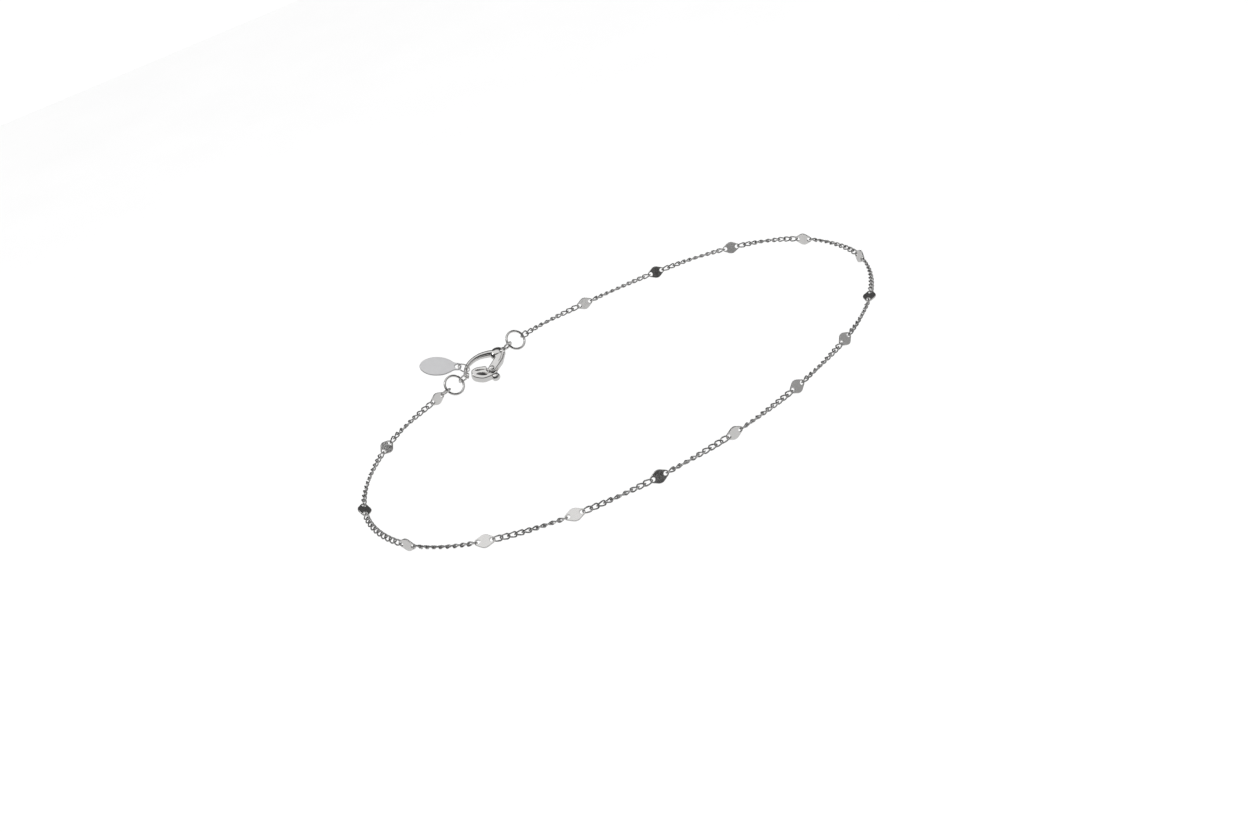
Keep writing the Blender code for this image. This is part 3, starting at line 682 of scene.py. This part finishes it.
def makeLever():
    # thick grooved blade on a thinner boss between the cheeks, and the thumb knob
    thickness, boss = leverSpec["bladeThickness"], leverSpec["bossDiameter"] / 2
    blade = objectOf(meshFrom(plateCurve([leverPoints(bladeOutline)], thickness, leverSpec["edge"])))
    knobCentre = Vector((-leverSpec["knobLead"], -leverSpec["knobReach"], 0))
    bladeRoot = (-leverSpec["rootReach"], leverSpec["rootRise"])
    parts = [blade]
    for size, centre in ((leverSpec["rootDiameter"], bladeRoot), (leverSpec["knobNeck"], knobCentre)):
        arm = hullPoints(boss, (0, 0), size / 2, centre, 24)
        bossThickness = claspSpec["bossThickness"] - leverSpec["bossInset"]
        parts.append(objectOf(meshFrom(plateCurve([arm], bossThickness, leverSpec["bossEdge"]))))
    shape = bmesh.new()
    size = (leverSpec["knobLength"], leverSpec["knobDiameter"], leverSpec["knobDepth"], 1)
    matrix = Matrix.Translation(knobCentre) @ Matrix.Diagonal(size)
    bmesh.ops.create_uvsphere(shape, u_segments=40, v_segments=28, radius=0.5, matrix=matrix)
    parts.append(objectOf(meshOf(shape, "knob")))
    lever = castTogether(parts, leverSpec["voxel"], leverSpec["smoothing"])
    cutters = []
    for rows in grooveOutlines:
        for side in (-1, 1):
            cutters.append(leanedCutter(
                leverPoints(rows), leverSpec["grooveDepth"], thickness / 2, side, leverSpec["grooveEdge"]))
    boreSize = claspSpec["pinDiameter"] + 2 * claspSpec["pinClearance"]
    cutters.append(roundStock(boreSize, 2 * claspSpec["cheekThickness"], (0, 0, 0), 40))
    lever = cutOut(lever, cutters)
    return setPiece(takeMesh(lever), "clasp_thumb_lever", hingeFrame, claspSilver, leverName,
                    ["clasp_lever"], sharp=40)


leverPiece = makeLever()

pinSpec = {"headDiameter": 0.62, "headHeight": 0.12}


def makePin():
    # rivet turned from a profile: a low domed head at both faces of the clasp
    head, shaft = pinSpec["headDiameter"] / 2, claspSpec["pinDiameter"] / 2
    face = claspSpec["cheekThickness"] / 2 + claspSpec["pinClearance"]
    rise = pinSpec["headHeight"]
    profile = [(0, 1.0), (0.35, 0.95), (0.6, 0.8), (0.85, 0.55), (1.0, 0.3), (1.0, 0.0)]
    profile = [(out * head, face + up * rise) for out, up in profile] + [(shaft, face)]
    profile += [(x, -z) for x, z in reversed(profile)]
    shape = bmesh.new()
    verts = [shape.verts.new((x, 0, z)) for x, z in profile]
    for first, second in zip(verts, verts[1:]):
        shape.edges.new((first, second))
    bmesh.ops.spin(
        shape, geom=shape.verts[:] + shape.edges[:], cent=(0, 0, 0), axis=(0, 0, 1),
        angle=2 * math.pi, steps=40, use_merge=True)
    setPiece(meshOf(shape, "pin"), "clasp_rivet", hingeFrame, polishedSilver, bodyName,
             ["clasp_pin"])


makePin()
print("clasp lever and rivet made")


tagSpec = {
    "length": 5.80, "width": 2.80, "thickness": 0.28, "holeDiameter": 0.66, "rim": 0.24,
    "endTurn": 144.0, "ringInner": 1.40, "ringWire": 0.20, "bearing": 145.0, "pitch": 14.0,
    "face": 60.0, "ringPitch": 20.0, "edge": 0.09, "armRow": 7,
}
tagOutline = [
    (0.17, 0.42), (0.27, 0.66), (0.40, 0.90), (0.56, 1.00), (0.70, 0.97), (0.82, 0.83), (0.91, 0.62),
    (0.97, 0.36),
]


def tagMesh():
    hole = tagSpec["holeDiameter"] / 2
    neck = hole + tagSpec["rim"]
    half = math.radians(tagSpec["endTurn"]) / 2
    outline = circlePoints(neck, (0, 0), 20, math.pi - half, math.pi + half, False)
    length, halfWidth = tagSpec["length"], tagSpec["width"] / 2
    lower = [(along * length - neck, -side * halfWidth) for along, side in tagOutline]
    upper = [(x, -y) for x, y in reversed(lower)]
    tip = (tagSpec["length"] - neck, 0.0)
    side = openSpline([outline[-1], *lower, tip, *upper, outline[0]], 7)
    outline = outline[1:] + [tuple(point) for point in side[1:]]
    holePoints = circlePoints(hole, (0, 0), 36, 2 * math.pi, 0.0)
    return meshFrom(plateCurve([outline, holePoints], tagSpec["thickness"], tagSpec["edge"]))


def leaning(bearing, pitch):
    bearing, pitch = math.radians(bearing), math.radians(pitch)
    flat = Vector((math.cos(bearing), math.sin(bearing), 0))
    return math.cos(pitch) * flat + Vector((0, 0, math.sin(pitch)))


def makeTag():
    # the tag hangs in its ring, and the ring hangs round the clasp's arm
    away = leaning(tagSpec["bearing"], tagSpec["pitch"])
    side = away.cross(Vector((0, 0, 1))).normalized() * -1
    turn = math.radians(tagSpec["face"])
    face = math.cos(turn) * side + math.sin(turn) * away.cross(side)
    row = tagSpec["armRow"]
    before, after = armPoint(armSections[row - 1]), armPoint(armSections[row + 1])
    ringFace = (claspFrame.to_3x3() @ (before - after)).normalized()
    ringAway = leaning(tagSpec["bearing"], tagSpec["ringPitch"])
    outward = (ringAway - ringAway.project(ringFace)).normalized()
    inner, wire = tagSpec["ringInner"] / 2, tagSpec["ringWire"]
    offset = inner - armSections[row][2] * claspSpec["clawWidth"] / 2 - gap
    centre = claspFrame @ armPoint(armSections[row]) + outward * offset
    ring = ringMesh(tagSpec["ringInner"], wire, 72, 14)
    setPiece(ring, "tag_hanging_ring", frameFrom(centre, outward, ringFace), polishedSilver, bodyName,
             ["tag_ring"], sharp=60)
    hole = centre + outward * (inner + wire / 2) + away * ((tagSpec["holeDiameter"] - wire) / 2 - gap)
    setPiece(tagMesh(), "tag_plate", frameFrom(hole, away, face), brushedSilver, bodyName,
             ["tag"], flatFaces=True)


makeTag()
print("tag made")


cameraSpec = {
    "azimuth": -25.05, "elevation": 35.08, "roll": 16.37, "distance": 158.47,
    "target": (-5.23, -6.95, 0.0), "lens": 36.58,
}


def makeCamera():
    azimuth, elevation = math.radians(cameraSpec["azimuth"]), math.radians(cameraSpec["elevation"])
    roll = math.radians(cameraSpec["roll"])
    back = Vector((math.sin(azimuth), -math.cos(azimuth), 0)) * math.cos(elevation)
    back.z = math.sin(elevation)
    right = Vector((math.cos(azimuth), math.sin(azimuth), 0))
    up = back.cross(right)
    imageRight = right * math.cos(roll) - up * math.sin(roll)
    imageUp = right * math.sin(roll) + up * math.cos(roll)
    matrix = Matrix((imageRight, imageUp, back)).transposed().to_4x4()
    target = Vector(cameraSpec["target"])
    matrix.translation = (target + back * cameraSpec["distance"]) * metresPerMm
    camera = bpy.data.cameras.new("camera")
    camera.lens = cameraSpec["lens"]
    camera.sensor_width = 36.0
    camera.clip_start, camera.clip_end = 0.005, 20.0
    view = bpy.data.objects.new("camera", camera)
    view.matrix_world = matrix
    bpy.context.scene.collection.objects.link(view)
    bpy.context.scene.camera = view


makeCamera()

# mirrored: a darker floor colour seen only in the metal's reflections, painted shade for the undersides of
# the wires
floorSpec = {
    "height": -43.0, "size": 800.0, "colour": (0.93, 0.93, 0.93), "shade": (0.90, 0.90, 0.90),
    "mirrored": (0.56, 0.56, 0.56),
}


def makeFloor():
    shape = bmesh.new()
    bmesh.ops.create_grid(
        shape, x_segments=1, y_segments=1, size=floorSpec["size"] / 2 * metresPerMm,
        matrix=Matrix.Translation((0, 0, floorSpec["height"] * metresPerMm)))
    mesh = bpy.data.meshes.new("floor")
    shape.to_mesh(mesh)
    shape.free()
    floor = objectOf(mesh, "studio_floor")
    material = bpy.data.materials.new("paleFloor")
    material.use_nodes = True
    tree = material.node_tree
    shader = tree.nodes["Principled BSDF"]
    shader.inputs["Roughness"].default_value = 0.9
    place = addNode(tree, "ShaderNodeTexCoord")
    grain = addNode(tree, "ShaderNodeTexNoise", Scale=40.0, Detail=2.0)
    tree.links.new(place.outputs["Object"], grain.inputs["Vector"])
    tint = addNode(tree, "ShaderNodeMix", data_type="RGBA")
    tint.inputs["A"].default_value = (*floorSpec["colour"], 1.0)
    tint.inputs["B"].default_value = (*floorSpec["shade"], 1.0)
    tree.links.new(grain.outputs["Fac"], tint.inputs["Factor"])
    # painted shade in the metal's reflections: glossy rays see the floor greyer than it is, which keeps the
    # undersides of its wires from fading out
    rays = addNode(tree, "ShaderNodeLightPath")
    reflectedShade = addNode(tree, "ShaderNodeMix", data_type="RGBA")
    reflectedShade.inputs["B"].default_value = (*floorSpec["mirrored"], 1.0)
    tree.links.new(rays.outputs["Is Glossy Ray"], reflectedShade.inputs["Factor"])
    tree.links.new(tint.outputs["Result"], reflectedShade.inputs["A"])
    tree.links.new(reflectedShade.outputs["Result"], shader.inputs["Base Color"])
    mesh.materials.append(material)


makeFloor()

# soft studio: pale overhead light, dim walls and a weaker light at one side, mirrored by the metal
worldSpec = {
    "wall": 0.05, "ceiling": 0.80, "ceilingStart": 46.0, "ceilingEnd": 64.0,
    "sideLight": 0.34, "sideBearing": 56.0, "sideHeight": 14.0, "sideInner": 10.0, "sideOuter": 30.0,
    "plain": 1.08,
}


def rampByAngle(tree, source, startAngle, endAngle, startValue, endValue):
    # smooth change between two angles measured from the direction that the source compares with
    ramp = addNode(tree, "ShaderNodeMapRange", interpolation_type="SMOOTHSTEP")
    ramp.inputs["From Min"].default_value = math.cos(math.radians(startAngle))
    ramp.inputs["From Max"].default_value = math.cos(math.radians(endAngle))
    ramp.inputs["To Min"].default_value = startValue
    ramp.inputs["To Max"].default_value = endValue
    tree.links.new(source, ramp.inputs["Value"])
    return ramp.outputs["Result"]


def makeWorld():
    world = bpy.data.worlds.new("softStudio")
    bpy.context.scene.world = world
    world.use_nodes = True
    tree = world.node_tree
    mirrored = tree.nodes["Background"]
    place = addNode(tree, "ShaderNodeTexCoord")

    def alignment(bearing, height):
        bearing, height = math.radians(bearing), math.radians(height)
        along = addNode(tree, "ShaderNodeVectorMath", operation="DOT_PRODUCT")
        flat = math.cos(height)
        along.inputs[1].default_value = (
            math.sin(bearing) * flat, -math.cos(bearing) * flat, math.sin(height))
        tree.links.new(place.outputs["Generated"], along.inputs[0])
        return along.outputs["Value"]

    ceiling = rampByAngle(
        tree, alignment(0, 90), 90 - worldSpec["ceilingStart"], 90 - worldSpec["ceilingEnd"],
        worldSpec["wall"], worldSpec["ceiling"])
    side = rampByAngle(
        tree, alignment(worldSpec["sideBearing"], worldSpec["sideHeight"]),
        worldSpec["sideOuter"], worldSpec["sideInner"], 0.0, worldSpec["sideLight"])
    both = addNode(tree, "ShaderNodeMath", operation="MAXIMUM")
    tree.links.new(ceiling, both.inputs[0])
    tree.links.new(side, both.inputs[1])
    tree.links.new(both.outputs["Value"], mirrored.inputs["Color"])
    # the floor is lit evenly, and straight views see the plain pale surround
    plain = addNode(tree, "ShaderNodeBackground", Strength=worldSpec["plain"])
    plain.inputs["Color"].default_value = (1.0, 1.0, 1.0, 1.0)
    rays = addNode(tree, "ShaderNodeLightPath")
    choose = addNode(tree, "ShaderNodeMixShader")
    tree.links.new(rays.outputs["Is Glossy Ray"], choose.inputs["Fac"])
    tree.links.new(plain.outputs["Background"], choose.inputs[1])
    tree.links.new(mirrored.outputs["Background"], choose.inputs[2])
    tree.links.new(choose.outputs["Shader"], tree.nodes["World Output"].inputs["Surface"])
    bpy.context.scene.view_settings.view_transform = "Standard"


makeWorld()

lampSpecs = [
    {"name": "key_softbox", "place": (-160.0, 120.0, 260.0), "size": 70.0, "power": 0.06},
    {"name": "fill_softbox", "place": (240.0, 40.0, 200.0), "size": 80.0, "power": 0.03},
]
for lampSpec in lampSpecs:
    lamp = bpy.data.lights.new(lampSpec["name"], "AREA")
    lamp.shape = "DISK"
    lamp.size = lampSpec["size"] * metresPerMm
    lamp.energy = lampSpec["power"]
    lampObject = bpy.data.objects.new(lampSpec["name"], lamp)
    lampObject.location = Vector(lampSpec["place"]) * metresPerMm
    lampObject.rotation_euler = (-Vector(lampSpec["place"])).to_track_quat("-Z", "Y").to_euler()
    bpy.context.scene.collection.objects.link(lampObject)
print("camera, floor and light set")
